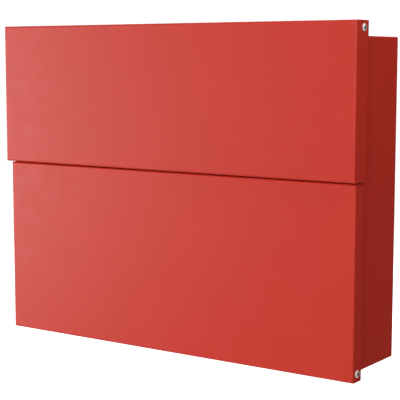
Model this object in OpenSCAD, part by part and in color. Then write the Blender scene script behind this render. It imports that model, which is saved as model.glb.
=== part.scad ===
// Wall-hung steel letter box: a welded housing, a letter flap hung from the top
// and a collection door hung from the bottom, with a cam lock behind the flap.
// X runs to the right, Y back to the wall, Z up. The wall is the plane Y = 0 and
// the origin is the middle of the housing's back.

/* [Housing] */
// Height of the housing over top and bottom
body_h = 327; // [265:1:420]
// Thickness of the housing's sheet
body_t = 1.2; // [1:0.1:1.6]
// Outside radius of the housing's folds
body_bend = 1.6; // [1.5:0.1:3]
// How far the housing's front edge lies behind the flap's face
body_setback = 10; // [10:0.5:12]
// Depth of the back panel's folded rim
back_rim = 14; // [8:1:25]
// Width of the folded return beside the door opening
side_return = 12; // [8:0.5:16]
// Height of the lip folded up along the front of the bottom
sill_h = 9; // [6:0.5:15]

/* [Front] */
// Depth of the whole box, wall to flap face
box_d = 100; // [83:1:150]
// Width of the letter flap, the widest part of the box
front_w = 450; // [370:1:545]
// How far the flap reaches past the housing on each side
side_over = 6; // [5.5:0.5:9]
// Height of the letter flap
flap_h = 153.5; // [128:0.5:185]
// How far the flap stands above the housing
lip_top = 14.5; // [12:0.5:16]
// How far the door hangs below the housing
lip_bottom = 7.5; // [7:0.5:12]
// Thickness of the flap and door sheet
skin_t = 1.5; // [1.2:0.1:1.8]
// Outside radius of the flap and door folds
skin_bend = 2; // [1.9:0.1:3]
// Depth of the flap's side and top flanges
flap_flange = 24; // [23:0.5:26]
// Depth of the flap's bottom lip
flap_lip = 8; // [5:0.5:8]
// Gap between flap and door
split_gap = 1.5; // [1.2:0.1:3]
// How much narrower the door is than the flap, each side
door_inset = 2; // [1.5:0.1:2.5]
// How far the door's face lies behind the flap's face
door_step = 6.5; // [6:0.1:7]
// Depth of the door's side flanges
door_flange = 17; // [16:0.5:18]
// Depth of the door's bottom flange
door_foot = 9; // [7:0.5:9]
// Depth of the door's top lip
door_lip = 12; // [10:0.5:15]
// Height of the hem folded down from the door's top lip
hem_h = 10; // [8:0.5:12]

/* [Hinges] */
// Flap hinge screw behind the flap's face
flap_pivot_back = 14.5; // [14:0.1:15]
// Flap hinge screw below the flap's top
flap_pivot_down = 7; // [6.8:0.1:7.5]
// Door hinge screw behind the door's face
door_pivot_back = 8.5; // [8.3:0.1:9]
// Door hinge screw above the door's foot
door_pivot_up = 8.2; // [8:0.1:9]
// Diameter of the hinge screws
screw_d = 4; // [3:0.5:4]
// Diameter of the screw heads
head_d = 7.6; // [7:0.1:8]
// Height of the screw heads
head_h = 2.2; // [1.8:0.1:2.6]
// Width of the screws' six-sided socket
socket_w = 2.5; // [2:0.1:3]
// Outside diameter of the hinge bushes
bush_d = 6; // [5.5:0.1:6.4]
// Collar diameter of the hinge bushes
collar_d = 9; // [8:0.1:9.4]
// Radius of the hinge ears
ear_r = 4.8; // [4.4:0.1:4.8]
// Width of the hinge nuts over their flats
nut_w = 7; // [6:0.1:7.2]
// Thickness of the hinge nuts
nut_h = 3.2; // [2.4:0.1:4]

/* [Letter slot] */
// Width of the letter slot
slot_w = 380; // [325:1:384]
// Height of the letter slot
slot_h = 38; // [30:1:42]
// Top of the slot below the housing's top
slot_down = 22; // [20:1:26]
// Depth of the slot panel's folded edges
panel_rim = 11; // [10:0.5:12]
// Slope length of the letter guide
guide_l = 50; // [30:1:58]
// Fall of the letter guide in degrees
guide_fall = 35; // [20:1:50]
// Rivets on each side of the slot panel
rivet_count = 3; // [2:1:4]
// Diameter of the rivets
rivet_d = 3.2; // [2.4:0.1:4]

/* [Lock] */
// Height of the lock's axis above the slot panel's foot
lock_up = 17; // [15:0.5:22]
// Diameter of the lock's threaded barrel
barrel_d = 16; // [15:0.5:18]
// Width of the barrel over its two flats
barrel_flat = 13.5; // [13:0.1:14.5]
// Reach of the barrel behind the slot panel's face
barrel_l = 13; // [12:0.5:18]
// Diameter of the lock's head
lock_head_d = 20; // [19:0.5:22]
// Height of the lock's head
lock_head_h = 3; // [2:0.1:4]
// Diameter of the key plug
plug_d = 10; // [9:0.1:11]
// Length of the cam from axis to tip
cam_l = 29; // [27:0.5:31]
// Width of the cam
cam_w = 13; // [11:0.5:14]
// Thickness of the cam
cam_t = 2; // [1.5:0.1:2.5]
// Width over the flats of the lock's nut
lock_nut_w = 20; // [19:0.5:22]
// Length of the keeper that the cam drops into
keeper_w = 26; // [20:1:60]
// Thickness of the keeper's sheet
keeper_t = 1.5; // [1.2:0.1:2]

/* [Wall fixing] */
// Distance between the wall holes across
hole_span_x = 300; // [200:5:360]
// Distance between the wall holes up and down
hole_span_z = 230; // [150:5:250]
// Diameter of the wall holes
hole_d = 6.5; // [5:0.5:9]
// Diameter of the drain holes in the bottom
drain_d = 6; // [4:0.5:8]

/* [Hidden] */

$fn = 48;
over = 1;            // how far a cutter runs past what it cuts
seat = 0.3;          // clearance of pieces that rest by one another
weld_gap = 0.1;      // gap of panels that are spot welded into the wrap
run_fit = 0.05;      // radial clearance of turning fits
screw_play = 0.2;    // radial clearance of screws in plain holes

front_y = -box_d;
door_y = front_y + door_step;
body_front = front_y + body_setback;
body_w = front_w - 2 * side_over;
body_in = body_w / 2 - body_t;
wrap_bend = max(body_bend, body_t + 0.3);
front_top = body_h / 2 + lip_top;
split_z = front_top - flap_h;
door_top = split_z - split_gap;
door_bottom = -body_h / 2 - lip_bottom;
door_h = door_top - door_bottom;
door_w = front_w - 2 * door_inset;

flap_pivot = [front_y + flap_pivot_back, front_top - flap_pivot_down];
door_pivot = [door_y + door_pivot_back, door_bottom + door_pivot_up];
// The bottom's front edge clears the turning circle of the door's foot
foot_sweep = norm([door_foot - door_pivot_back, door_pivot_up]);
bottom_front = door_pivot[0] + foot_sweep + 0.8;
ear_root = -body_h / 2 + wrap_bend;
drain_x = body_w / 2 - 80;
drain_rows = [bottom_front + 20, -back_rim - 10];

panel_foot = split_z;
panel_top = body_h / 2 - body_t;
slot_top = body_h / 2 - slot_down;
slot_bottom = slot_top - slot_h;
return_top = door_top - skin_t - 3;
return_foot = -body_h / 2 + 10;
lip_half = body_in - 1.5;
hem_half = body_in - side_return - 1.5;
door_lip_root = 0.5;

// The slot stays between the slot panel's rims on a narrow box
slot_span = min(slot_w, 2 * (body_in - 22));
slot_corner = 4;
guide_drop = 4;
guide_flange = 12;
guide_hem = 8;
guide_side = 3;
rivet_margin = 30;
rivet_head_h = 1.1;

lock_z = panel_foot + lock_up;
barrel_back = body_front + barrel_l;
plug_recess = 1;
plug_head_d = plug_d + 3;
tail_w = 7;
tail_l = cam_t + 0.2;
cam_y = barrel_back + seat;
cam_play = 0.6;
keeper_bend = keeper_t + 0.5;
// The door's lip ends in front of the cam, with room for the keeper's front leg
lip_back = min(door_y + skin_t + door_lip, cam_y - cam_play - keeper_t);
lock_nut_h = 4;
cam_screw_d = 4;
cam_screw_head = 9;

flap_gap = front_w / 2 - skin_t - body_w / 2;
door_gap = door_w / 2 - skin_t - body_w / 2;
wrap_fold_in = wrap_bend - body_t;

red = "firebrick";
steel = "silver";
nylon = "ivory";
rubber = "dimgray";

module both_sides() {
    children();
    mirror([1, 0, 0]) children();
}

// Square with all four corners rounded, centred
module round_rect(w, h, r) {
    square([w - 2 * r, h], center = true);
    square([w, h - 2 * r], center = true);
    for (sx = [-1, 1], sy = [-1, 1])
        translate([sx * (w / 2 - r), sy * (h / 2 - r)]) circle(r);
}

// Rectangle from (0, 0) to (w, d) whose corners on the line d = 0 are rounded
module front_round(w, d, r) {
    translate([0, r]) square([w, d - r]);
    translate([r, 0]) square([w - 2 * r, d]);
    for (x = [r, w - r]) translate([x, r]) circle(r);
}

// Extrude a drawing of the YZ plane along X, from x0 to x1
module along_x(x0, x1) {
    translate([x0, 0, 0]) rotate([90, 0, 90]) linear_extrude(x1 - x0) children();
}

// Extrude a drawing of the XZ plane along Y, from y0 to y1
module along_y(y0, y1) {
    translate([0, y1, 0]) rotate([90, 0, 0]) linear_extrude(y1 - y0) children();
}

module box(x0, x1, y0, y1, z0, z1) {
    translate([x0, y0, z0]) cube([x1 - x0, y1 - y0, z1 - z0]);
}

module pin_x(x0, x1, at, d) {
    translate([x0, at[0], at[1]]) rotate([0, 90, 0]) cylinder(h = x1 - x0, d = d);
}

module pin_y(y0, y1, x, z, d) {
    translate([x, y1, z]) rotate([90, 0, 0]) cylinder(h = y1 - y0, d = d);
}

// Solid block with rounded front edges on all four sides, as a folded tray's outside
module tray_block(w, h, d, r) {
    intersection() {
        translate([-w / 2, 0, 0]) linear_extrude(h) front_round(w, d, r);
        along_x(-w / 2 - over, w / 2 + over)
            mirror([1, -1]) front_round(h, d, r);
    }
}

// Sheet tray open to the back: a face and four flanges of one depth
module tray(w, h, d, t, r) {
    difference() {
        tray_block(w, h, d, r);
        translate([0, t, t]) tray_block(w - 2 * t, h - 2 * t, d, r - t);
    }
}

// Ring section of the housing: top, sides and bottom folded from one strip
module housing_ring() {
    difference() {
        round_rect(body_w, body_h, wrap_bend);
        round_rect(body_w - 2 * body_t, body_h - 2 * body_t, wrap_fold_in);
    }
}

// Ear standing on a side panel, drawn in YZ, from its root to its rounded end
module ear(pivot, root) {
    translate(pivot) circle(ear_r);
    translate([pivot[0] - ear_r, min(root, pivot[1])])
        square([2 * ear_r, abs(root - pivot[1])]);
}

// Return folded inwards beside the door opening, on the right side
module side_fold() {
    translate([body_w / 2, body_front, return_foot]) mirror([1, 0, 0])
        linear_extrude(return_top - return_foot) difference() {
            front_corner(side_return + body_t, 2 * wrap_bend);
            translate([body_t, body_t]) front_corner(side_return + over, 2 * wrap_bend, wrap_fold_in);
        }
}

// Quarter of a rounded tray corner at the origin, w wide and d deep
module front_corner(w, d, r = wrap_bend) {
    translate([r, 0]) square([w - r, d]);
    translate([0, r]) square([w, d - r]);
    translate([r, r]) circle(r);
}

// Front strip of a side panel that gives way to its folded return
module side_fold_room() {
    box(body_in - over, body_w / 2 + over, body_front - over, body_front + wrap_bend, return_foot, return_top);
}

module housing_wrap() {
    color(red) difference() {
        union() {
            difference() {
                along_y(body_front, 0) housing_ring();
                // The front of the bottom is cut back for the door's foot
                box(-body_w, body_w, body_front - over, bottom_front, -body_h, ear_root);
                both_sides() side_fold_room();
            }
            both_sides() {
                side_fold();
                along_x(body_in, body_w / 2) {
                    ear(flap_pivot, body_h / 2 - wrap_bend - over);
                    ear(door_pivot, ear_root + over);
                }
            }
            sill();
        }
        for (x = [-1, 1], y = drain_rows)
            translate([x * drain_x, y, -body_h / 2 - over])
                cylinder(h = body_t + 2 * over, d = drain_d);
        for (pivot = [flap_pivot, door_pivot])
            pin_x(-body_w / 2 - over, body_w / 2 + over, pivot, screw_d + 2 * screw_play);
        rivet_holes();
    }
}

// Lip folded up along the front edge of the bottom
module sill() {
    sill_half = body_in - 1;
    translate([0, bottom_front, -body_h / 2])
        along_x(-sill_half, sill_half) difference() {
            front_corner(2 * wrap_bend, sill_h);
            translate([body_t, body_t]) front_corner(2 * wrap_bend, sill_h, wrap_fold_in);
        }
}

// What fits inside the wrap, with the welding gap all round, drawn in XZ
module wrap_inside() {
    round_rect(2 * (body_in - weld_gap), 2 * (panel_top - weld_gap), wrap_fold_in);
}

module back_panel() {
    half_w = body_in - weld_gap;
    half_h = panel_top - weld_gap;
    color(red) difference() {
        intersection() {
            mirror([0, 1, 0]) translate([0, 0, -half_h])
                tray(2 * half_w, 2 * half_h, back_rim, body_t, wrap_bend);
            along_y(-back_rim - over, over) wrap_inside();
        }
        for (x = [-1, 1], z = [-1, 1])
            pin_y(-body_t - over, over, x * hole_span_x / 2, z * hole_span_z / 2, hole_d);
    }
}

// Rivets through the right side panel and the slot panel's rim, heads outwards
module at_rivets() {
    pitch = (panel_top - panel_foot - 2 * rivet_margin) / (rivet_count - 1);
    for (i = [0 : rivet_count - 1])
        translate([body_w / 2, body_front + panel_rim * 0.6, panel_foot + rivet_margin + pitch * i])
            rotate([0, 90, 0]) children();
}

module rivet_holes() {
    both_sides() at_rivets() translate([0, 0, -3 * body_t - over])
        cylinder(h = 3 * body_t + 2 * over, d = rivet_d + 2 * run_fit);
}

module slot_panel() {
    color(red) difference() {
        intersection() {
            translate([0, body_front, panel_foot])
                tray(2 * (body_in - weld_gap), panel_top - weld_gap - panel_foot, panel_rim, body_t, wrap_bend);
            along_y(body_front - over, 0) wrap_inside();
        }
        along_y(body_front - over, body_front + body_t + over) {
            translate([0, (slot_top + slot_bottom) / 2]) round_rect(slot_span, slot_h, slot_corner);
            translate([0, lock_z]) barrel_outline(0.1);
        }
        rivet_holes();
    }
}

module slot_panel_rivets() {
    grip = 2 * body_t + weld_gap;
    color(steel) both_sides() at_rivets() {
        translate([0, 0, -grip]) cylinder(h = grip, d = rivet_d);
        rotate_extrude() intersection() {
            translate([0, rivet_head_h - 2 * rivet_d]) circle(2 * rivet_d);
            square([rivet_d, rivet_head_h]);
        }
        translate([0, 0, -grip - rivet_d / 2]) cylinder(h = rivet_d / 2, d = rivet_d * 1.5);
    }
}

// Sloping plate that turns the letters down to the back and keeps hands out
module letter_guide() {
    face_y = body_front + body_t;
    bend_z = slot_bottom - guide_drop;
    run = guide_l * cos(guide_fall);
    fall = guide_l * sin(guide_fall);
    // Offset of the slope's lower face from its upper one, measured straight down
    below = body_t / cos(guide_fall);
    color(red) along_x(guide_side - body_in, body_in - guide_side) polygon([
        [face_y, bend_z - guide_flange],
        [face_y, bend_z],
        [face_y + run, bend_z - fall],
        [face_y + run, bend_z - fall - guide_hem],
        [face_y + run - body_t, bend_z - fall - guide_hem],
        [face_y + run - body_t, bend_z - fall - below + body_t * tan(guide_fall)],
        [face_y + body_t, bend_z - below - body_t * tan(guide_fall)],
        [face_y + body_t, bend_z - guide_flange]
    ]);
}

module letter_flap() {
    inner = front_w / 2 - skin_t;
    color(red) difference() {
        translate([0, front_y, split_z]) tray(front_w, flap_h, flap_flange, skin_t, skin_bend);
        // The bottom lip is short, so that it clears the slot panel
        box(-inner, inner, front_y + skin_t + flap_lip, 0, split_z - over, split_z + 2 * skin_bend);
        pin_x(-front_w / 2 - over, front_w / 2 + over, flap_pivot, bush_d + 2 * run_fit);
    }
}

module collection_door() {
    inner = door_w / 2 - skin_t;
    color(red) difference() {
        union() {
            difference() {
                translate([0, door_y, door_bottom])
                    tray(door_w, door_h, door_flange, skin_t, skin_bend);
                box(-inner, inner, door_y + door_foot, 0, door_bottom - over, door_bottom + 2 * skin_bend);
                box(-inner, inner, lip_back - skin_bend, 0, door_top - 2 * skin_bend, door_top + over);
                // The top lip is narrower than the housing, which it reaches into
                both_sides() box(lip_half, inner, door_y + skin_t + door_lip_root, 0,
                                 door_top - 2 * skin_bend, door_top + over);
            }
            top_lip();
        }
        pin_x(-door_w / 2 - over, door_w / 2 + over, door_pivot, bush_d + 2 * run_fit);
    }
}

// Back of the door's top lip, with its hem folded down
module top_lip() {
    box(-lip_half, lip_half, door_y + skin_t + over, lip_back - skin_bend, door_top - skin_t, door_top);
    translate([0, lip_back, door_top]) along_x(-hem_half, hem_half)
        rotate(180) difference() {
            front_corner(2 * skin_bend, hem_h + skin_t, skin_bend);
            translate([skin_t, skin_t]) front_corner(2 * skin_bend, hem_h + skin_t, skin_bend - skin_t);
        }
}

// Button head screw along +X, its head's seat at x = 0
module hinge_screw(shank) {
    color(steel) {
        rotate([0, 90, 0]) difference() {
            union() {
                rotate_extrude() head_section();
                translate([0, 0, -shank]) cylinder(h = shank, d = screw_d);
            }
            translate([0, 0, head_h - 1.3]) cylinder(h = 2, d = socket_w / cos(30), $fn = 6);
        }
    }
}

// Half section of a low domed head: a cap of a circle over a short rim
module head_section() {
    rim = 0.4;
    rise = head_h - rim;
    dome = (pow(head_d / 2, 2) + rise * rise) / (2 * rise);
    square([head_d / 2, rim]);
    intersection() {
        translate([0, rim + rise - dome]) circle(dome, $fn = 96);
        square([head_d / 2, head_h]);
    }
}

// Flanged bush along +X from the housing's side, reach long, collar under the flange
module hinge_bush(collar, reach) {
    color(nylon) rotate([0, 90, 0]) difference() {
        union() {
            cylinder(h = reach, d = bush_d);
            cylinder(h = collar, d = collar_d);
        }
        translate([0, 0, -over]) cylinder(h = reach + 2 * over, d = screw_d + 2 * run_fit);
    }
}

// Six-sided nut along -X behind an ear
module hinge_nut() {
    color(steel) rotate([0, -90, 0]) difference() {
        intersection() {
            cylinder(h = nut_h, d = nut_w / cos(30), $fn = 6);
            cylinder(h = nut_h, d = nut_w / cos(30) - 0.4);
        }
        translate([0, 0, -over]) cylinder(h = nut_h + 2 * over, d = screw_d + 2 * run_fit);
    }
}

// Put a piece on one side of the box: side is 1 on the right and -1 on the left
module on_side(side, x, pivot) {
    mirror([side > 0 ? 0 : 1, 0, 0]) translate([x, pivot[0], pivot[1]]) children();
}

module flap_screw(side) {
    on_side(side, front_w / 2 + seat, flap_pivot) hinge_screw(flap_gap + skin_t + body_t + nut_h + seat + 1);
}

module door_screw(side) {
    on_side(side, door_w / 2 + seat, door_pivot) hinge_screw(door_gap + skin_t + body_t + nut_h + seat + 1);
}

module flap_bush(side) {
    on_side(side, body_w / 2, flap_pivot) hinge_bush(flap_gap - seat, flap_gap + skin_t + seat);
}

module door_bush(side) {
    on_side(side, body_w / 2, door_pivot) hinge_bush(door_gap - seat, door_gap + skin_t + seat);
}

module hinge_nut_at(side, pivot) {
    on_side(side, body_in, pivot) hinge_nut();
}

// Barrel section with its two flats, drawn in XZ
module barrel_outline(grow) {
    intersection() {
        circle(d = barrel_d + 2 * grow);
        square([barrel_flat + 2 * grow, barrel_d * 2], center = true);
    }
}

module lock_barrel() {
    color(steel) difference() {
        union() {
            along_y(body_front, barrel_back) translate([0, lock_z]) barrel_outline(0);
            translate([0, body_front, lock_z]) rotate([90, 0, 0]) {
                cylinder(h = lock_head_h - 0.8, d = lock_head_d);
                translate([0, 0, lock_head_h - 0.8]) cylinder(h = 0.8, d1 = lock_head_d, d2 = lock_head_d - 1.6);
            }
        }
        pin_y(body_front - lock_head_h - over, barrel_back + over, 0, lock_z, plug_d + 2 * run_fit);
        pin_y(body_front - lock_head_h - over, body_front - lock_head_h + plug_recess + seat,
              0, lock_z, plug_head_d + 2 * run_fit);
    }
}

module lock_nut() {
    nut_y = body_front + body_t;
    color(steel) difference() {
        intersection() {
            along_y(nut_y, nut_y + lock_nut_h) translate([0, lock_z]) circle(d = lock_nut_w / cos(30), $fn = 6);
            pin_y(nut_y, nut_y + lock_nut_h, 0, lock_z, lock_nut_w / cos(30) - 1);
        }
        pin_y(nut_y - over, nut_y + lock_nut_h + over, 0, lock_z, barrel_d + 2 * run_fit);
    }
}

module lock_plug() {
    face = body_front - lock_head_h;
    color(steel) difference() {
        union() {
            pin_y(face, barrel_back + seat, 0, lock_z, plug_d);
            pin_y(face, face + plug_recess, 0, lock_z, plug_head_d);
            along_y(barrel_back, cam_y + tail_l) translate([0, lock_z]) square(tail_w, center = true);
        }
        box(-0.6, 0.6, face - over, face + 12, lock_z - 3.4, lock_z + 3.4);
        pin_y(barrel_back - 6, cam_y + tail_l + over, 0, lock_z, cam_screw_d + 2 * run_fit);
    }
}

// Straight cam lying to the right when the box is unlocked
module lock_cam() {
    color(steel) along_y(cam_y, cam_y + cam_t) translate([0, lock_z]) difference() {
        union() {
            circle(d = cam_w);
            translate([0, -cam_w / 2]) square([cam_l - 3, cam_w]);
            translate([0, -cam_w / 2 + 3]) square([cam_l, cam_w - 6]);
            for (z = [-1, 1]) translate([cam_l - 3, z * (cam_w / 2 - 3)]) circle(3);
        }
        square(tail_w + 2 * run_fit, center = true);
    }
}

module cam_screw() {
    head_y = cam_y + tail_l;
    color(steel) difference() {
        union() {
            pin_y(barrel_back - 5, head_y + 0.5, 0, lock_z, cam_screw_d);
            pin_y(head_y, head_y + 2.2, 0, lock_z, cam_screw_head);
        }
        for (turn = [0, 90]) translate([0, head_y + 1.7, lock_z]) rotate([0, turn, 0])
            cube([5, 2, 0.8], center = true);
    }
}

// Channel welded behind the door's hem; the cam swings down between its legs
module lock_keeper() {
    floor_z = lock_z - cam_l - cam_play;
    leg_top = door_top - skin_bend;
    keeper_back = cam_y + cam_t + cam_play + keeper_t;
    color(steel) along_x(-keeper_w / 2, keeper_w / 2) difference() {
        translate([lip_back, floor_z - keeper_t])
            front_round(keeper_back - lip_back, leg_top - floor_z + keeper_t, keeper_bend);
        translate([lip_back + keeper_t, floor_z])
            front_round(keeper_back - lip_back - 2 * keeper_t, leg_top - floor_z + over, keeper_bend - keeper_t);
    }
}

module flap_buffers() {
    gap = body_front - (front_y + skin_t);
    color(rubber) for (x = [-1, 1])
        pin_y(body_front - gap + seat, body_front, x * (body_in - 30), panel_foot + 20, 10);
}

module door_buffers() {
    gap = body_front - (door_y + skin_t);
    color(rubber) for (x = [-1, 1], z = [return_top - 15, return_foot + 25])
        pin_y(body_front - gap + seat, body_front, x * (body_in - side_return / 2), z, 8);
}

housing_wrap();
back_panel();
slot_panel();
slot_panel_rivets();
letter_guide();
letter_flap();
collection_door();
flap_screw(-1);  // flap_screw_left
flap_screw(1);  // flap_screw_right
door_screw(-1);  // door_screw_left
door_screw(1);  // door_screw_right
flap_bush(-1);  // flap_bush_left
flap_bush(1);  // flap_bush_right
door_bush(-1);  // door_bush_left
door_bush(1);  // door_bush_right
hinge_nut_at(-1, flap_pivot);  // flap_nut_left
hinge_nut_at(1, flap_pivot);  // flap_nut_right
hinge_nut_at(-1, door_pivot);  // door_nut_left
hinge_nut_at(1, door_pivot);  // door_nut_right
lock_barrel();
lock_nut();
lock_plug();
lock_cam();
cam_screw();
lock_keeper();
flap_buffers();
door_buffers();
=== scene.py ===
# Looks of the wall-hung letter box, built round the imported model, which stays as it is.
# Metres throughout: X to the right, Y back to the wall, Z up, origin in the middle of the back.
from math import cos, pi, radians, sqrt

import bmesh
import bpy
from mathutils import Matrix, Vector


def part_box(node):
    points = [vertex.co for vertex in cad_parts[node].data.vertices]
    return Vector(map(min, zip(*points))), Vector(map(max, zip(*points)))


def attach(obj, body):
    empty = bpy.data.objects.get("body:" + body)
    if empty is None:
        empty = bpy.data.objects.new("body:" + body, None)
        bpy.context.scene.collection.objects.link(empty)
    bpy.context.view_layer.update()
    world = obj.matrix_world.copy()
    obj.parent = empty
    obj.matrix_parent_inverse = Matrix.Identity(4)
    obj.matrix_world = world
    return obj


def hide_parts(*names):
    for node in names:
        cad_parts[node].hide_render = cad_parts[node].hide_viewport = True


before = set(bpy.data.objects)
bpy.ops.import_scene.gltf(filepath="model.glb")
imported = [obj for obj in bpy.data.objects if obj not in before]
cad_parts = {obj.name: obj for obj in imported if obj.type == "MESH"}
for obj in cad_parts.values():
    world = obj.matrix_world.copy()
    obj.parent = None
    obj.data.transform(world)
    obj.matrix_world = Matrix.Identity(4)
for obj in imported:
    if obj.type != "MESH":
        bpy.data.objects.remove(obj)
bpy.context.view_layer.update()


# Housing wrap.
# One strip of 1.2 mm sheet steel, folded round top, sides and bottom, seam welded and then
# powder coated: a semi-matt red film with a faint orange peel and softly rounded edges.

COAT_RED = (0.645, 0.0330, 0.0160, 1.0)
COAT_RED_DEEP = (0.620, 0.0315, 0.0152, 1.0)
COAT_CLOUDS = 14
COAT_ROUGH = (0.44, 0.50)
COAT_ROUGH_CLOUDS = 60
COAT_EDGE = 0.00035
COAT_PEEL = (380, 0.000045)
COAT_GRAIN = (1900, 0.000012)
COAT_RELIEF = 0.8
COAT_IOR = 1.45
NOISE_MIDDLE = (0.3, 0.7)
EDGE_SAMPLES = 6


def new_node(tree, kind, **sockets):
    node = tree.nodes.new(kind)
    for name, value in sockets.items():
        node.inputs[name.replace("_", " ")].default_value = value
    return node


def new_material(name):
    material = bpy.data.materials.new(name)
    material.use_nodes = True
    tree = material.node_tree
    shader = next(n for n in tree.nodes if n.type == "BSDF_PRINCIPLED")
    place = tree.nodes.new("ShaderNodeTexCoord").outputs["Object"]
    return material, tree, shader, place


def noise(tree, place, per_metre, detail, roughness=0.5):
    """Noise whose grains are about 1 / per_metre wide."""
    grain = new_node(
        tree, "ShaderNodeTexNoise", Scale=per_metre, Detail=detail, Roughness=roughness)
    tree.links.new(place, grain.inputs["Vector"])
    return grain.outputs["Fac"]


def spread(tree, value, low, high):
    """Stretch the middle of a noise, where most of it lies, to run from low to high."""
    from_low, from_high = NOISE_MIDDLE
    share = new_node(
        tree, "ShaderNodeMapRange", From_Min=from_low, From_Max=from_high, To_Min=low, To_Max=high)
    tree.links.new(value, share.inputs["Value"])
    return share.outputs["Result"]


def blend_colours(tree, share, first, second):
    mix = tree.nodes.new("ShaderNodeMix")
    mix.data_type = "RGBA"
    mix.inputs["A"].default_value = first
    mix.inputs["B"].default_value = second
    tree.links.new(share, mix.inputs["Factor"])
    return mix.outputs["Result"]


def mottle(tree, shader, place, per_metre, detail, first, second):
    """Let the colour drift between two shades."""
    tone = spread(tree, noise(tree, place, per_metre, detail), 0.0, 1.0)
    tree.links.new(blend_colours(tree, tone, first, second), shader.inputs["Base Color"])


def vary_sheen(tree, shader, place, per_metre, roughness):
    """Let the roughness drift between its two values."""
    sheen = spread(tree, noise(tree, place, per_metre, 2), *roughness)
    tree.links.new(sheen, shader.inputs["Roughness"])


def bump(tree, height, distance, strength, normal):
    """Raise the surface by height times distance, on top of an earlier normal."""
    relief = new_node(tree, "ShaderNodeBump", Strength=strength, Distance=distance)
    tree.links.new(height, relief.inputs["Height"])
    tree.links.new(normal, relief.inputs["Normal"])
    return relief.outputs["Normal"]


def soft_edges(tree, radius):
    edge = new_node(tree, "ShaderNodeBevel", Radius=radius)
    edge.samples = EDGE_SAMPLES
    return edge.outputs["Normal"]


def powder_coat(name):
    material, tree, shader, place = new_material(name)
    mottle(tree, shader, place, COAT_CLOUDS, 3, COAT_RED, COAT_RED_DEEP)
    vary_sheen(tree, shader, place, COAT_ROUGH_CLOUDS, COAT_ROUGH)
    rounded = soft_edges(tree, COAT_EDGE)
    per_metre, height = COAT_PEEL
    peel = bump(tree, noise(tree, place, per_metre, 1.5), height, COAT_RELIEF, rounded)
    per_metre, height = COAT_GRAIN
    grain = bump(tree, noise(tree, place, per_metre, 2, 0.6), height, COAT_RELIEF, peel)
    tree.links.new(grain, shader.inputs["Normal"])
    shader.inputs["IOR"].default_value = COAT_IOR
    return material


def paint(node, material):
    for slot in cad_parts[node].material_slots:
        slot.material = material


red_coat = powder_coat("red_powder_coat")
paint("housing_wrap", red_coat)

# Back panel.
# A shallow tray of the same coated sheet, spot welded into the wrap, with four holes for
# the wall screws.

paint("back_panel", red_coat)

# Slot panel and letter guide.
# The slot panel closes the upper front behind the flap. The guide under its slot turns the
# letters down to the back. Both are folded from the same coated sheet.

paint("slot_panel", red_coat)
paint("letter_guide", red_coat)

# Rivets.
# Blind rivets of soft aluminium hold the slot panel's rim to the sides. They are set after
# coating, so they stay bare.

RIVET_R = 0.0032
RIVET_HEAD_H = 0.0011
RIVET_DOME = ((0.25, 0.98), (0.55, 0.86), (0.80, 0.66), (0.94, 0.45), (1.0, 0.30))
RIVET_STEM_R = 0.0016
RIVET_SET_R = 0.0024
RIVET_SET_WALL = 0.6
RIVET_SET_TIP = 0.7
RIVET_SET_REACH = 0.0041
RIVETS_PER_SIDE = 3
MANDREL_R = 0.0009
MANDREL_LIP = 0.0001
MANDREL_DEPTH = 0.0008
ROUND_SIDES = 48
HAIR = 0.00001
WELD = 0.000005
SMOOTH_BELOW = radians(32)
METAL_EDGE = 0.00015
METAL_DIM = 0.92


def active():
    return bpy.context.view_layer.objects.active


def pick(piece, kind, test):
    """In edit mode, select only the edges or faces whose middle passes the test."""
    bpy.ops.mesh.select_mode(type={"edges": "EDGE", "faces": "FACE"}[kind])
    bpy.ops.mesh.select_all(action="DESELECT")
    shape = bmesh.from_edit_mesh(piece.data)
    for part in getattr(shape, kind):
        middle = sum((v.co for v in part.verts), Vector()) / len(part.verts)
        part.select_set(bool(test(middle)))
    shape.select_flush_mode()
    bmesh.update_edit_mesh(piece.data)


def add_cylinder(name, radius, low, high, sides=ROUND_SIDES):
    """A closed cylinder along Z from low to high, left in edit mode."""
    bpy.ops.object.select_all(action="DESELECT")
    bpy.ops.mesh.primitive_cylinder_add(
        vertices=sides, radius=radius, depth=high - low, location=(0, 0, (low + high) / 2))
    active().name = name
    bpy.ops.object.transform_apply(location=True, rotation=True, scale=True)
    bpy.ops.object.mode_set(mode="EDIT")
    return active()


def draw_out(rise, widen=None):
    """Extrude the selected faces along Z, and then widen or narrow them."""
    bpy.ops.mesh.extrude_region_move(TRANSFORM_OT_translate={"value": (0, 0, rise)})
    if widen is not None:
        bpy.ops.transform.resize(value=(widen, widen, 1))


def take_up(piece):
    """Make a piece the only one selected."""
    bpy.ops.object.select_all(action="DESELECT")
    bpy.context.view_layer.objects.active = piece
    piece.select_set(True)


def cut(piece, tool, operation="DIFFERENCE"):
    """Cut, join or trim a closed piece with another closed one, which is then deleted."""
    take_up(piece)
    step = piece.modifiers.new("cut", "BOOLEAN")
    step.operation, step.object, step.solver = operation, tool, "EXACT"
    bpy.ops.object.modifier_apply(modifier=step.name)
    bpy.data.objects.remove(tool, do_unlink=True)


def weld(piece):
    """Merge the points that a cut left on top of each other."""
    bpy.ops.object.mode_set(mode="EDIT")
    bpy.ops.mesh.select_mode(type="VERT")
    bpy.ops.mesh.select_all(action="SELECT")
    bpy.ops.mesh.remove_doubles(threshold=WELD)
    bpy.ops.object.mode_set(mode="OBJECT")


def finish_piece(piece, *materials):
    """Shade a piece smooth but for its sharp edges, and give it its materials."""
    take_up(piece)
    bpy.ops.object.shade_smooth_by_angle(angle=SMOOTH_BELOW)
    piece.data.materials.clear()
    for material in materials:
        piece.data.materials.append(material)


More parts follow.
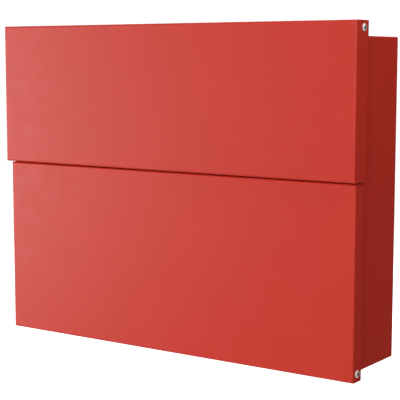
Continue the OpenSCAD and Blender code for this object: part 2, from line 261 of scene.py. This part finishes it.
def blind_rivet(name, reach):
    """A set rivet: its head on z = 0 with the mandrel's hole, its swollen end at -reach."""
    grip = reach - RIVET_STEM_R
    rivet = add_cylinder(name, RIVET_STEM_R, -grip, 0)
    pick(rivet, "faces", lambda m: m.z < -grip + HAIR)
    draw_out(0, RIVET_SET_R / RIVET_STEM_R)
    draw_out(-RIVET_STEM_R * RIVET_SET_WALL)
    draw_out(-RIVET_STEM_R * (1 - RIVET_SET_WALL), RIVET_SET_TIP)
    pick(rivet, "faces", lambda m: m.z > -HAIR)
    draw_out(0, RIVET_R / RIVET_STEM_R)
    height, radius = 0.0, RIVET_R
    for new_height, new_radius in RIVET_DOME:
        draw_out((new_height - height) * RIVET_HEAD_H, new_radius * RIVET_R / radius)
        height, radius = new_height, new_radius * RIVET_R
    draw_out(-MANDREL_LIP, MANDREL_R / radius)
    draw_out(-MANDREL_DEPTH)
    bpy.ops.mesh.select_all(action="SELECT")
    bpy.ops.mesh.normals_make_consistent(inside=False)
    bpy.ops.object.mode_set(mode="OBJECT")
    return rivet


def copy_to(source, name, place):
    """Copy a finished model, with a mesh of its own that is moved to its place."""
    piece = source.copy()
    piece.data = source.data.copy()
    piece.name = name
    piece.data.transform(place)
    bpy.context.scene.collection.objects.link(piece)
    return piece


def dimmed(colour, share):
    return tuple(c * share for c in colour[:3]) + (1.0,)


def metal(name, colour, roughness, per_metre, relief, metallic=1.0):
    material, tree, shader, place = new_material(name)
    mottle(tree, shader, place, per_metre, 3, colour, dimmed(colour, METAL_DIM))
    vary_sheen(tree, shader, place, per_metre * 1.7, roughness)
    rounded = soft_edges(tree, METAL_EDGE)
    surface = bump(tree, noise(tree, place, per_metre * 3, 2), relief, 1.0, rounded)
    tree.links.new(surface, shader.inputs["Normal"])
    shader.inputs["Metallic"].default_value = metallic
    return material


aluminium = metal(
    "satin_aluminium", colour=(0.80, 0.80, 0.81, 1.0), roughness=(0.30, 0.40),
    per_metre=700, relief=0.000006, metallic=0.8)
low, high = (Vector(corner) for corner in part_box("slot_panel_rivets"))
seat_x = high.x - RIVET_HEAD_H
model = blind_rivet("rivet_model", RIVET_SET_REACH)
finish_piece(model, aluminium)
pitch = (high.z - low.z - 2 * RIVET_R) / (RIVETS_PER_SIDE - 1)
for side, word in ((-1, "left"), (1, "right")):
    for row in range(RIVETS_PER_SIDE):
        seat = (side * seat_x, (low.y + high.y) / 2, low.z + RIVET_R + pitch * row)
        place = Matrix.Translation(seat) @ Matrix.Rotation(side * pi / 2, 4, "Y")
        piece = copy_to(model, f"blind_rivet_{word}_{row + 1}", place)
        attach(piece, "housing")
        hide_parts("slot_panel_rivets")
bpy.data.objects.remove(model, do_unlink=True)

# Hinge screws.
# The flap and the door turn on four stainless M4 button head screws. Each has a low domed
# head with a six-sided socket and a rolled thread with a chamfered end.

THREAD_ACROSS = 0.0040
THREAD_CORE = 0.00324
THREAD_PITCH = 0.0007
HEAD_R = 0.0038
HEAD_ROOM = 0.0022
HEAD_H = 0.0014
HEAD_RIM = 0.0004
HEAD_FLAT_R = 0.0027
HEAD_SIDES = 64
HEAD_RINGS = 7
SOCKET_ACROSS = 0.0025
SOCKET_DEPTH = 0.0010
MOUTH_SHARE = 0.48
MOUTH_DEPTH = 0.0003
MOUTH_FLARE = 1.45
# How far the painted shade inside the socket reaches: near the axis and below its mouth.
SOCKET_SHADE_SHARE = 0.6
SOCKET_SHADE_BELOW = 0.00005
ROD_SUNK = 0.0003
THREAD_STEPS = 28
TIP_L = 0.0004
TIP_SHARE = 0.6
CUT_ROOM = 0.001
TRIM_ROOM = 0.0001
TRIANGLE_SIDE = sqrt(3)
TRIANGLE_H = 1.5


def threaded_rod(name, length):
    """A rod from inside the head down to -length: a V profile screwed up, cut and chamfered."""
    depth = (THREAD_ACROSS - THREAD_CORE) / 2
    turns = int(length / THREAD_PITCH) + 4
    bpy.ops.object.select_all(action="DESELECT")
    bpy.ops.mesh.primitive_circle_add(vertices=3, radius=1)
    rod = active()
    rod.name = name
    on_end = Matrix(((0, 1, 0, 0), (0, 0, 1, 0), (1, 0, 0, 0), (0, 0, 0, 1)))
    place = Matrix.Translation((THREAD_CORE / 2 + depth / 3, 0, -length - 2 * THREAD_PITCH))
    size = Matrix.Diagonal((THREAD_PITCH / TRIANGLE_SIDE, depth / TRIANGLE_H, 1, 1))
    rod.matrix_world = place @ on_end @ size
    bpy.ops.object.transform_apply(location=True, rotation=True, scale=True)
    bpy.ops.object.mode_set(mode="EDIT")
    pick(rod, "edges", lambda m: m.x < THREAD_CORE / 2 + depth / 4)
    bpy.ops.mesh.delete(type="EDGE")
    bpy.ops.object.mode_set(mode="OBJECT")
    turn = rod.modifiers.new("thread", "SCREW")
    turn.axis, turn.angle, turn.screw_offset, turn.iterations = "Z", 2 * pi, THREAD_PITCH, turns
    turn.steps = turn.render_steps = THREAD_STEPS
    turn.use_merge_vertices, turn.merge_threshold = True, HAIR
    bpy.ops.object.modifier_apply(modifier=turn.name)
    bpy.ops.object.mode_set(mode="EDIT")
    bpy.ops.mesh.select_mode(type="VERT")
    bpy.ops.mesh.select_all(action="SELECT")
    bpy.ops.mesh.remove_doubles(threshold=WELD)
    for end, outward in ((ROD_SUNK, 1), (-length, -1)):
        bpy.ops.mesh.bisect(
            plane_co=(0, 0, end), plane_no=(0, 0, outward), use_fill=True, clear_outer=True)
        bpy.ops.mesh.select_all(action="SELECT")
    bpy.ops.mesh.normals_make_consistent(inside=False)
    bpy.ops.object.mode_set(mode="OBJECT")
    trim = add_cylinder("trim", THREAD_ACROSS / 2 + TRIM_ROOM, -length - TRIM_ROOM, CUT_ROOM)
    pick(trim, "faces", lambda m: m.z < -length)
    draw_out(-TIP_L, TIP_SHARE)
    bpy.ops.mesh.select_all(action="SELECT")
    bpy.ops.transform.translate(value=(0, 0, TIP_L + TRIM_ROOM))
    bpy.ops.object.mode_set(mode="OBJECT")
    cut(rod, trim, "INTERSECT")
    return rod


def button_head(name):
    """A low domed head on z = 0, made ring by ring, with a chamfered six-sided socket."""
    head = add_cylinder(name, HEAD_R, 0, HEAD_RIM, HEAD_SIDES)
    rise = HEAD_R ** 2 + HEAD_RIM ** 2 - HEAD_FLAT_R ** 2 - HEAD_H ** 2
    centre = rise / (2 * (HEAD_RIM - HEAD_H))
    dome = sqrt(HEAD_R ** 2 + (HEAD_RIM - centre) ** 2)
    height, radius = HEAD_RIM, HEAD_R
    for ring in range(1, HEAD_RINGS + 1):
        new_height = HEAD_RIM + (HEAD_H - HEAD_RIM) * ring / HEAD_RINGS
        new_radius = sqrt(dome ** 2 - (new_height - centre) ** 2)
        pick(head, "faces", lambda m: m.z > height - HAIR)
        draw_out(new_height - height, new_radius / radius)
        height, radius = new_height, new_radius
    bpy.ops.object.mode_set(mode="OBJECT")
    corner = SOCKET_ACROSS / 2 / cos(pi / 6)
    socket = add_cylinder("socket", corner, HEAD_H - SOCKET_DEPTH, HEAD_H + CUT_ROOM, 6)
    bpy.ops.object.mode_set(mode="OBJECT")
    cut(head, socket)
    mouth = add_cylinder(
        "mouth", SOCKET_ACROSS * MOUTH_SHARE, HEAD_H - MOUTH_DEPTH, HEAD_H + TRIM_ROOM)
    pick(mouth, "faces", lambda m: m.z > HEAD_H)
    bpy.ops.transform.resize(value=(MOUTH_FLARE, MOUTH_FLARE, 1))
    bpy.ops.object.mode_set(mode="OBJECT")
    cut(head, mouth)
    return head


def lay_along_x(source, name, side, node, reach):
    """Copy a model made along Z to lie along X in a node's place, z = reach at its outer end."""
    low, high = (Vector(corner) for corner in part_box(node))
    outer = high.x if side > 0 else low.x
    seat = (outer - side * reach, (low.y + high.y) / 2, (low.z + high.z) / 2)
    place = Matrix.Translation(seat) @ Matrix.Rotation(side * pi / 2, 4, "Y")
    return copy_to(source, name, place)


stainless = metal(
    "satin_stainless", colour=(0.76, 0.74, 0.67, 1.0), roughness=(0.46, 0.56),
    per_metre=900, relief=0.000004, metallic=0.45)
# A near-black metal for the socket's inside: painted shade in the recess, not a finish of the
# screw.
socket_shade = metal(
    "painted_shade_in_socket", colour=(0.030, 0.028, 0.030, 1.0), roughness=(0.50, 0.62),
    per_metre=900, relief=0.000006, metallic=0.6)
for leaf in ("flap", "door"):
    box_low, box_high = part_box(f"{leaf}_screw_right")
    shank = box_high[0] - box_low[0] - HEAD_ROOM
    model = button_head(f"{leaf}_screw_model")
    cut(model, threaded_rod("rod", shank), "UNION")
    weld(model)
    finish_piece(model, stainless, socket_shade)
    # Faces sunk inside the socket near the axis take the painted shade.
    for face in model.data.polygons:
        near_axis = face.center.xy.length < SOCKET_ACROSS * SOCKET_SHADE_SHARE
        sunk = SOCKET_SHADE_BELOW < HEAD_H - face.center.z < SOCKET_DEPTH + HAIR
        face.material_index = 1 if near_axis and sunk else 0
    for side, word in ((-1, "left"), (1, "right")):
        node = f"{leaf}_screw_{word}"
        piece = lay_along_x(model, f"{node}_button_head", side, node, HEAD_ROOM)
        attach(piece, "housing")
        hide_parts(node)
    bpy.data.objects.remove(model, do_unlink=True)

# Hinge nuts.
# Each screw is held by a stainless nut behind the housing's ear, its corners turned off on
# both faces and its bore countersunk.

NUT_ACROSS = 0.0070
NUT_BORE = 0.0042
NUT_ROOM = 0.0005
NUT_TURN_ROOM = 0.0003
NUT_TURN = 0.0007
NUT_SINK = 0.0004
NUT_SINK_FLARE = 1.4


def hexagon_nut(name, height):
    """A nut from z = 0 up to height, with turned corners and a countersunk bore."""
    corner = NUT_ACROSS / 2 / cos(pi / 6)
    nut = add_cylinder(name, corner, -NUT_ROOM, height + NUT_ROOM, 6)
    bpy.ops.object.mode_set(mode="OBJECT")
    turned = add_cylinder("turned", corner + NUT_TURN_ROOM, 0, height)
    pick(turned, "faces", lambda m: abs(m.z - height / 2) > height / 2 - HAIR)
    bpy.ops.mesh.select_mode(type="EDGE")
    bpy.ops.mesh.bevel(offset=NUT_TURN, offset_type="OFFSET", segments=1, affect="EDGES")
    bpy.ops.object.mode_set(mode="OBJECT")
    cut(nut, turned, "INTERSECT")
    bore = add_cylinder("bore", NUT_BORE / 2, -CUT_ROOM, height + CUT_ROOM)
    bpy.ops.object.mode_set(mode="OBJECT")
    cut(nut, bore)
    for end, outward in ((0, -1), (height, 1)):
        mouth = add_cylinder("mouth", NUT_BORE / 2 - TRIM_ROOM, end - NUT_SINK, end + NUT_SINK)
        pick(mouth, "faces", lambda m: outward * (m.z - end) > NUT_SINK / 2)
        bpy.ops.transform.resize(value=(NUT_SINK_FLARE, NUT_SINK_FLARE, 1))
        bpy.ops.object.mode_set(mode="OBJECT")
        cut(nut, mouth)
    weld(nut)
    return nut


box_low, box_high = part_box("flap_nut_right")
nut_height = box_high[0] - box_low[0]
model = hexagon_nut("nut_model", nut_height)
finish_piece(model, stainless)
for leaf in ("flap", "door"):
    for side, word in ((-1, "left"), (1, "right")):
        node = f"{leaf}_nut_{word}"
        piece = lay_along_x(model, f"{node}_hexagon", side, node, nut_height)
        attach(piece, "housing")
        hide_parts(node)
bpy.data.objects.remove(model, do_unlink=True)

# Hinge bushes.
# Flanged bushes of natural nylon, turned, keep the coated sheets apart and let the leaves
# turn quietly.

PLASTIC_EDGE = 0.00015
PLASTIC_DIM = 0.9
PLASTIC_GLOW_DEPTH = 0.0012


def plastic(name, colour, roughness, per_metre, relief, through=0.0):
    material, tree, shader, place = new_material(name)
    mottle(tree, shader, place, per_metre * 0.3, 2, colour, dimmed(colour, PLASTIC_DIM))
    vary_sheen(tree, shader, place, per_metre, roughness)
    rounded = soft_edges(tree, PLASTIC_EDGE)
    surface = bump(tree, noise(tree, place, per_metre * 2, 2), relief, 1.0, rounded)
    tree.links.new(surface, shader.inputs["Normal"])
    shader.inputs["Subsurface Weight"].default_value = through
    shader.inputs["Subsurface Scale"].default_value = PLASTIC_GLOW_DEPTH
    return material


nylon = plastic(
    "milky_nylon", colour=(0.80, 0.78, 0.72, 1.0), roughness=(0.34, 0.44),
    per_metre=800, relief=0.000008, through=0.2)
for side in ("left", "right"):
    for leaf in ("flap", "door"):
        paint(f"{leaf}_bush_{side}", nylon)

# Letter flap.
# A shallow tray of 1.5 mm sheet with sharp folds on all four sides. It hangs from its top
# corners and covers the letter slot and the lock.

paint("letter_flap", red_coat)

# Collection door.
# A second, narrower tray under the flap, hinged at its foot. A zinc plated channel welded
# behind its hem is the keeper for the lock's cam.

paint("collection_door", red_coat)
zinc = metal(
    "bright_zinc", colour=(0.66, 0.68, 0.70, 1.0), roughness=(0.28, 0.40),
    per_metre=500, relief=0.000008)
paint("lock_keeper", zinc)

# Cam lock.
# A cylinder lock with a chromed barrel sits in the slot panel behind the flap. Its zinc
# plated cam swings down into the keeper.

chrome = metal(
    "satin_chrome", colour=(0.74, 0.75, 0.77, 1.0), roughness=(0.24, 0.32),
    per_metre=400, relief=0.000003, metallic=0.7)
for node in ("lock_barrel", "lock_nut", "lock_plug"):
    paint(node, chrome)
for node in ("lock_cam", "cam_screw"):
    paint(node, zinc)

# Buffers.
# Moulded discs of black rubber, stuck to the slot panel and to the returns beside the door
# opening, take up the flap and the door.

BUFFER_DOOR_R = 0.0040
BUFFER_ROUND = 0.0010
BUFFER_ROUND_STEPS = 5
BUFFER_PIP_R = 0.0012
BUFFER_PIP_SLOPE = 0.0003
BUFFER_PIP_DEPTH = 0.0004


def buffer(name, radius, height):
    """A moulded disc from z = 0 up to height, with a rounded rim and a dimple in its face."""
    disc = add_cylinder(name, radius, 0, height)
    pick(disc, "faces", lambda m: m.z > height - HAIR)
    bpy.ops.mesh.bevel(
        offset=BUFFER_ROUND, offset_type="OFFSET", segments=BUFFER_ROUND_STEPS, affect="EDGES")
    pick(disc, "faces", lambda m: m.z > height - HAIR)
    bpy.ops.mesh.inset(thickness=radius - BUFFER_ROUND - BUFFER_PIP_R - BUFFER_PIP_SLOPE)
    bpy.ops.mesh.inset(thickness=BUFFER_PIP_SLOPE, depth=-BUFFER_PIP_DEPTH)
    bpy.ops.object.mode_set(mode="OBJECT")
    return disc


rubber = plastic(
    "black_rubber", colour=(0.020, 0.020, 0.021, 1.0), roughness=(0.62, 0.74),
    per_metre=600, relief=0.00002)
for leaf, rows in (("flap", 1), ("door", 2)):
    node = f"{leaf}_buffers"
    low, high = (Vector(corner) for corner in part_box(node))
    radius = (high.z - low.z) / 2 if rows == 1 else BUFFER_DOOR_R
    model = buffer(f"{node}_model", radius, high.y - low.y)
    finish_piece(model, rubber)
    heights = (low.z + radius,) if rows == 1 else (low.z + radius, high.z - radius)
    for column, x in (("left", low.x + radius), ("right", high.x - radius)):
        for row, z in zip(("low", "high"), heights):
            name = f"{leaf}_buffer_{row}_{column}" if rows == 2 else f"{leaf}_buffer_{column}"
            place = Matrix.Translation((x, high.y, z)) @ Matrix.Rotation(pi / 2, 4, "X")
            piece = copy_to(model, name, place)
            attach(piece, "housing")
            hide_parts(node)
    bpy.data.objects.remove(model, do_unlink=True)

# Floor, light and camera.
# A pale floor well under the box, a white room, and soft lights: a broad one from the front
# right, and small ones on the left, over the right side, behind and below.

FLOOR_SIZE = 12
FLOOR_Z = -0.75
FLOOR_PALE = (0.86, 0.86, 0.86, 1)
FLOOR_DIM = (0.84, 0.84, 0.84, 1)
FLOOR_GLOW = 0.95
ROOM_SHOWN = 1.1
WALL_GLOW = 0.05
CEILING_GLOW = 0.9
GLOW_FROM = 0.40
GLOW_TO = 0.65
WHITE = (1, 1, 1, 1)
LENS_MM = 107.46
CAMERA_AT = (0.74537, -1.10164, 0.1415)
CAMERA_TURN = (
    (0.820459, -0.067536, 0.567702, 0),
    (0.571705, 0.096025, -0.814821, 0),
    (0.000517, 0.993085, 0.117395, 0),
    (0, 0, 0, 1))

bpy.ops.object.select_all(action="DESELECT")
bpy.ops.mesh.primitive_plane_add(size=FLOOR_SIZE, location=(0, 0, FLOOR_Z))
floor = active()
floor.name = "pale_floor"
pale, pale_tree, pale_shader, pale_place = new_material("pale_floor")
mottle(pale_tree, pale_shader, pale_place, 3, 2, FLOOR_PALE, FLOOR_DIM)
pale_shader.inputs["Roughness"].default_value = 0.8
pale_shader.inputs["Emission Color"].default_value = WHITE
pale_shader.inputs["Emission Strength"].default_value = FLOOR_GLOW
floor.data.materials.append(pale)
floor.visible_diffuse = floor.visible_glossy = False

world = bpy.data.worlds.new("white_room")
world.use_nodes = True
bpy.context.scene.world = world
room = world.node_tree
outward = room.nodes.new("ShaderNodeTexCoord").outputs["Generated"]
split = room.nodes.new("ShaderNodeSeparateXYZ")
room.links.new(outward, split.inputs["Vector"])
height = new_node(room, "ShaderNodeMath")
height.operation = "ABSOLUTE"
room.links.new(split.outputs["Z"], height.inputs[0])
glow = new_node(
    room, "ShaderNodeMapRange", From_Min=GLOW_FROM, From_Max=GLOW_TO,
    To_Min=WALL_GLOW, To_Max=CEILING_GLOW)
room.links.new(height.outputs["Value"], glow.inputs["Value"])
shown = new_node(room, "ShaderNodeBackground", Color=WHITE, Strength=ROOM_SHOWN)
mirrored = new_node(room, "ShaderNodeBackground", Color=WHITE)
room.links.new(glow.outputs["Result"], mirrored.inputs["Strength"])
lit = new_node(room, "ShaderNodeBackground", Color=WHITE, Strength=WALL_GLOW)
seen = room.nodes.new("ShaderNodeLightPath")
unseen = room.nodes.new("ShaderNodeMixShader")
room.links.new(seen.outputs["Is Glossy Ray"], unseen.inputs["Fac"])
room.links.new(lit.outputs["Background"], unseen.inputs[1])
room.links.new(mirrored.outputs["Background"], unseen.inputs[2])
either = room.nodes.new("ShaderNodeMixShader")
room.links.new(seen.outputs["Is Camera Ray"], either.inputs["Fac"])
room.links.new(unseen.outputs["Shader"], either.inputs[1])
room.links.new(shown.outputs["Background"], either.inputs[2])
room.links.new(either.outputs["Shader"], room.nodes["World Output"].inputs["Surface"])


def soft_light(name, at, aim, width, height, watts):
    """A rectangle of light that faces the point it aims at."""
    data = bpy.data.lights.new(name, "AREA")
    data.shape = "RECTANGLE"
    data.size, data.size_y, data.energy = width, height, watts
    lamp = bpy.data.objects.new(name, data)
    bpy.context.scene.collection.objects.link(lamp)
    lamp.location = at
    lamp.rotation_euler = (Vector(aim) - Vector(at)).to_track_quat("-Z", "Y").to_euler()


soft_light("left_softbox", (-2.3, -1.5, -0.1), (0, -0.05, 0), 0.8, 1.4, 41)
soft_light("front_right_key", (4.0, -11.0, 2.7), (0, 0, 0), 8.0, 7.0, 905)
soft_light("right_top", (0.75, -0.15, 0.75), (0.22, -0.05, 0.1), 0.5, 0.5, 3.1)
soft_light("back_fill", (-2.4, 3.4, 1.6), (0, 0, 0), 2.4, 2.4, 70)
soft_light("floor_bounce", (0.5, -0.5, -0.72), (0.1, -0.05, 0), 1.4, 1.4, 1.2)

lens = bpy.data.cameras.new("camera")
lens.sensor_width = 36
lens.lens = LENS_MM
lens.clip_start, lens.clip_end = 0.05, 50
camera = bpy.data.objects.new("camera", lens)
bpy.context.scene.collection.objects.link(camera)
camera.matrix_world = Matrix.Translation(CAMERA_AT) @ Matrix(CAMERA_TURN)
bpy.context.scene.camera = camera
bpy.context.scene.view_settings.view_transform = "Standard"
